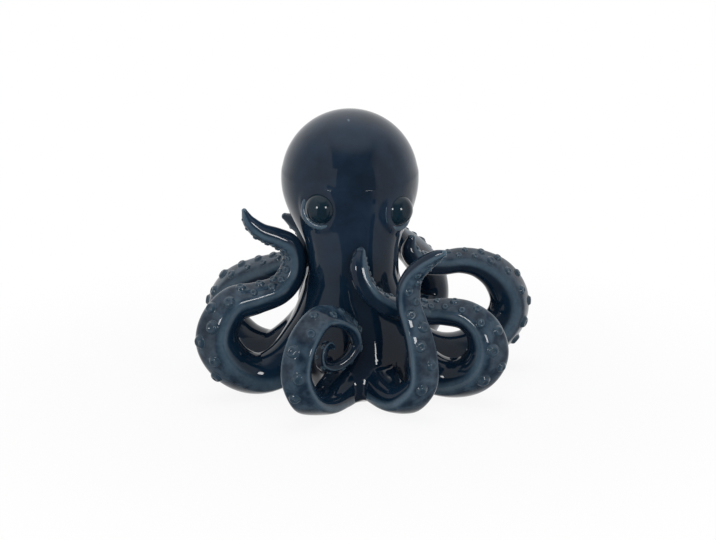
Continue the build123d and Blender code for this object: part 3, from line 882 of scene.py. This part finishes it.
def suckerPiece(name):
    spots, ways, scales = suckerSpots(name)
    node = "suckers_" + name
    mesh = bpy.data.meshes.new(node + "_spots")
    mesh.from_pydata((np.array(spots) * millimetre).tolist(), [], [])
    mesh.attributes.new("way", "FLOAT_VECTOR", "POINT").data.foreach_set(
        "vector", np.array(ways, np.float32).ravel())
    mesh.attributes.new("size", "FLOAT", "POINT").data.foreach_set("value", np.array(scales, np.float32))
    holder = bpy.data.objects.new(node + "_spots", mesh)
    scene.collection.objects.link(holder)
    modifier = holder.modifiers.new("pressedSuckers", "NODES")
    modifier.node_group = pressedSuckers
    values = {
        "Radius": suckerSizes["radius"] * millimetre, "Rim Height": suckerSizes["rimHeight"] * millimetre,
        "Dish Depth": suckerSizes["dishDepth"] * millimetre, "Bite": suckerSizes["bite"] * millimetre,
        "Unevenness": suckerSizes["unevenness"], "Seed": suckerSizes["seed"] + len(name),
        "Glaze": suckerGlaze,
    }
    for item in pressedSuckers.interface.items_tree:
        if item.item_type == "SOCKET" and item.in_out == "INPUT" and item.name in values:
            modifier[item.identifier] = values[item.name]
    ready = holder.evaluated_get(bpy.context.evaluated_depsgraph_get())
    plain = bpy.data.meshes.new_from_object(ready)
    plain.name = node + "_discs"
    bpy.data.objects.remove(holder)
    piece = bpy.data.objects.new(node + "_discs", plain)
    scene.collection.objects.link(piece)
    markBends(piece, 1)
    placePiece(piece, node)


for name in arms:
    suckerPiece(name)
print("suckers pressed on")


# Eyes


def lookAxes(look):
    up = np.array([0.0, 0.0, 1.0])
    return np.cross(up, look), up


def eyeballPiece(name):
    centre, look = eyeFrame(name)
    side, up = lookAxes(look)
    radius, around, rows = eyeSizes["ballRadius"], eyeSizes["ballAround"], eyeSizes["ballRows"]
    angles = np.arange(around) / around * 2 * math.pi
    circle = np.cos(angles)[:, None] * side + np.sin(angles)[:, None] * up
    rings = [centre + radius * math.cos(a) * look + radius * math.sin(a) * circle
             for a in np.arange(1, rows) / rows * math.pi]
    points = np.vstack(rings + [centre + radius * look, centre - radius * look])
    faces = cappedFaces(len(rings), around, len(points) - 2, len(points) - 1)
    piece = makePiece("eyeball_" + name + "_glazed", points, faces)
    glazePiece(piece, "eyeball_" + name, eyeGlaze, 1)


def beadLoop(centre, look, nose, ringRadius, girth, forward):
    # A soft bead round the ball, which begins on the outer side of the face
    count, around = eyeSizes["lidCount"], eyeSizes["lidAround"]
    side, up = lookAxes(look)
    side = -side * nose
    angles = np.arange(count) / count * 360
    shares = np.interp(angles, [a for a, _ in girth], [s for _, s in girth], period=360)
    turn = np.arange(around) / around * 2 * math.pi
    points = []
    for angle, share in zip(np.radians(angles), shares):
        radial = math.cos(angle) * side + math.sin(angle) * up
        thick = eyeSizes["lidGirth"] * share
        middle = centre + ringRadius * radial + (forward - (1 - share) * eyeSizes["thinSink"]) * look
        points.append(middle + thick * (np.cos(turn)[:, None] * radial + np.sin(turn)[:, None] * look))
    return np.vstack(points), ringFaces(count, around, closedAlong=True)


def eyelidPiece(name):
    centre, look = eyeFrame(name)
    nose = 1 if name == "left" else -1
    radius, out = eyeSizes["lidRadius"], eyeSizes["foldOut"]
    points, faces = beadLoop(centre, look, nose, radius, eyeSizes["lid"], eyeSizes["lidForward"])
    more, moreFaces = beadLoop(centre, look, nose, radius + out, eyeSizes["fold"], eyeSizes["foldForward"])
    faces += [tuple(k + len(points) for k in face) for face in moreFaces]
    piece = makePiece("eyelid_" + name + "_rolled", np.vstack([points, more]), faces)
    storeOuter(piece, np.full(len(piece.data.vertices), eyeSizes["lidPale"]))
    glazePiece(piece, "eyelid_" + name, navyGlaze, 2)


for name in eyes:
    eyeballPiece(name)
    eyelidPiece(name)
print("eyes set")


# Studio

studio = {
    "floorSize": 6.0,
    "floorDrop": 0.0002,
    "floorWhite": 0.86,
    "floorRoughness": 0.9,
    "floorGlow": 0.9,
    "floorDark": (0.045, 0.062),    # under the figurine the floor shows its own shade
    "darkCentre": (-0.005, 0.025, 0),
    "floorClear": (0.14, 0.40),     # and from here to here it turns plain white
    "skyStrength": 0.5,
    # What the glaze mirrors: a dim side towards -Y, with a sharp edge on the left and a soft one on
    # the right, in a room that is brighter behind the object and overhead, and dull underneath
    "dimLevel": 0.10,
    "dimLeft": (-0.50, -0.44),
    "dimRight": (0.75, 0.50),
    "dimFront": (0.15, -0.15),
    "dimTop": (0.95, 0.65),
    "behind": (0.1, 0.8),
    "behindLevels": (0.42, 0.85),
    "above": (0.55, 0.95),
    "aboveMore": 0.2,
    "under": (-0.45, -0.9),
    "underLess": 0.35,
    "target": (0.0014, 0.0, 0.0841),
    "distance": 1.25,
    "elevation": 15.0,
    "lens": 89.78,
    "lampElevation": 17.0,
    "lampDistance": 1.5,
    "lampSize": 0.30,
    "lampPower": 3.2,
    "flagReach": 0.06,
    "flagSize": 0.030,
    "overheadPlace": (0, 0.1, 1.6),
    "overheadSize": 1.0,
    "overheadPower": 8.0,
}

# Each front lamp's bearing in degrees, and the glow of the card that hides it from the head
softboxes = {"leftSoftbox": (-32, 0.42), "rightSoftbox": (32, 0.12)}


def whiteFloor():
    half = studio["floorSize"] / 2
    mesh = bpy.data.meshes.new("floor")
    mesh.from_pydata([(-half, -half, 0), (half, -half, 0), (half, half, 0), (-half, half, 0)],
                     [], [(0, 1, 2, 3)])
    floor = bpy.data.objects.new("floor", mesh)
    floor.location.z = -studio["floorDrop"]
    scene.collection.objects.link(floor)
    material = bpy.data.materials.new("paperSweep")
    material.use_nodes = True
    tree = material.node_tree
    paper = tree.nodes["Principled BSDF"]
    paper.inputs["Base Color"].default_value = (studio["floorWhite"],) * 3 + (1,)
    paper.inputs["Roughness"].default_value = studio["floorRoughness"]
    paper.inputs["Specular IOR Level"].default_value = 0.0
    glow = addNode(tree, "ShaderNodeEmission", {"Color": (1, 1, 1, 1)}).outputs[0]
    seen = addNode(tree, "ShaderNodeLightPath").outputs["Is Camera Ray"]
    where = addNode(tree, "ShaderNodeTexCoord").outputs["Object"]
    away = workOutVector(tree, "LENGTH", {0: where})["Value"]
    clear = readSpan(tree, away, studio["floorClear"], studio["floorGlow"], 1.0)
    near = workOutVector(tree, "DISTANCE", {0: where, 1: studio["darkCentre"]})["Value"]
    lit = workOut(tree, "MULTIPLY", clear, readSpan(tree, near, studio["floorDark"]))
    mix = addNode(tree, "ShaderNodeMixShader", {
        "Fac": workOut(tree, "MULTIPLY", seen, lit), 1: paper.outputs[0], 2: glow}).outputs[0]
    tree.links.new(mix, tree.nodes["Material Output"].inputs["Surface"])
    mesh.materials.append(material)
    floor.visible_glossy = False


def whiteRoom():
    # The camera sees a white room, and the glaze one with a dim side behind the camera
    world = bpy.data.worlds.new("whiteRoom")
    scene.world = world
    world.use_nodes = True
    tree = world.node_tree
    tree.nodes.clear()
    path = addNode(tree, "ShaderNodeLightPath").outputs
    direct = workOut(tree, "MAXIMUM", path["Is Camera Ray"], path["Is Transmission Ray"])
    way = addNode(tree, "ShaderNodeTexCoord").outputs["Generated"]
    split = addNode(tree, "ShaderNodeSeparateXYZ", {0: way}).outputs
    dim = 1.0
    for axis, edge in (("X", "dimLeft"), ("X", "dimRight"), ("Y", "dimFront"), ("Z", "dimTop")):
        dim = workOut(tree, "MULTIPLY", dim, readSpan(tree, split[axis], studio[edge]))
    behind = readSpan(tree, split["Y"], studio["behind"], *studio["behindLevels"])
    above = readSpan(tree, split["Z"], studio["above"], 0.0, studio["aboveMore"])
    under = readSpan(tree, split["Z"], studio["under"], 0.0, studio["underLess"])
    around = workOut(tree, "SUBTRACT", workOut(tree, "ADD", behind, above), under)
    level = mixOf(tree, dim, around, studio["dimLevel"], "FLOAT")
    glossy = mixOf(tree, path["Is Glossy Ray"], studio["skyStrength"], level, "FLOAT")
    background = addNode(tree, "ShaderNodeBackground", {
        "Color": (1, 1, 1, 1), "Strength": mixOf(tree, direct, glossy, 1.0, "FLOAT")}).outputs[0]
    addNode(tree, "ShaderNodeOutputWorld", {"Surface": background})


def lamp(name, place, aim, size, power):
    data = bpy.data.lights.new(name, "AREA")
    data.shape = "RECTANGLE"
    data.size = data.size_y = size
    data.energy = power
    piece = bpy.data.objects.new(name, data)
    piece.location = place
    piece.rotation_euler = (Vector(aim) - Vector(place)).to_track_quat("-Z", "Y").to_euler()
    piece.visible_camera = False
    scene.collection.objects.link(piece)
    return piece


def headFlag(name, place, glow):
    # A small card keeps the lamp's mirror image off the front of the head
    centre = Vector(bodySizes["headCentre"]) * millimetre
    toLamp, toCamera = (place - centre).normalized(), (scene.camera.location - centre).normalized()
    spot = centre + (toLamp + toCamera).normalized() * bodySizes["headRadius"] * millimetre
    way = (place - spot).normalized()
    half = studio["flagSize"] / 2
    side = way.cross(Vector((0, 0, 1))).normalized() * half
    rise = side.cross(way).normalized() * half
    middle = spot + way * studio["flagReach"]
    mesh = bpy.data.meshes.new(name + "Flag")
    mesh.from_pydata([middle - side - rise, middle + side - rise,
                      middle + side + rise, middle - side + rise], [], [(0, 1, 2, 3)])
    card = bpy.data.objects.new(name + "Flag", mesh)
    scene.collection.objects.link(card)
    card.visible_camera = False
    material = bpy.data.materials.new(name + "Card")
    material.use_nodes = True
    paper = material.node_tree.nodes["Principled BSDF"].inputs
    paper["Base Color"].default_value = (0, 0, 0, 1)
    paper["Specular IOR Level"].default_value = 0.0
    paper["Emission Color"].default_value = (1, 1, 1, 1)
    paper["Emission Strength"].default_value = glow
    mesh.materials.append(material)


def makeCamera():
    tilt = math.radians(studio["elevation"])
    data = bpy.data.cameras.new("camera")
    data.lens = studio["lens"]
    camera = bpy.data.objects.new("camera", data)
    forward = Vector((0, math.cos(tilt), -math.sin(tilt)))
    camera.location = Vector(studio["target"]) - forward * studio["distance"]
    camera.rotation_euler = forward.to_track_quat("-Z", "Y").to_euler()
    scene.collection.objects.link(camera)
    scene.camera = camera


whiteFloor()
whiteRoom()
makeCamera()
for name, (bearing, glow) in softboxes.items():
    turn, rise = math.radians(bearing), math.radians(studio["lampElevation"])
    way = Vector((math.sin(turn) * math.cos(rise), -math.cos(turn) * math.cos(rise), math.sin(rise)))
    place = Vector(studio["target"]) + way * studio["lampDistance"]
    lamp(name, place, studio["target"], studio["lampSize"], studio["lampPower"])
    headFlag(name, place, glow)
overhead = lamp("overhead", studio["overheadPlace"], (0, 0, 0), studio["overheadSize"],
                studio["overheadPower"])
overhead.visible_glossy = False
scene.view_settings.view_transform = "Standard"
print("studio set")
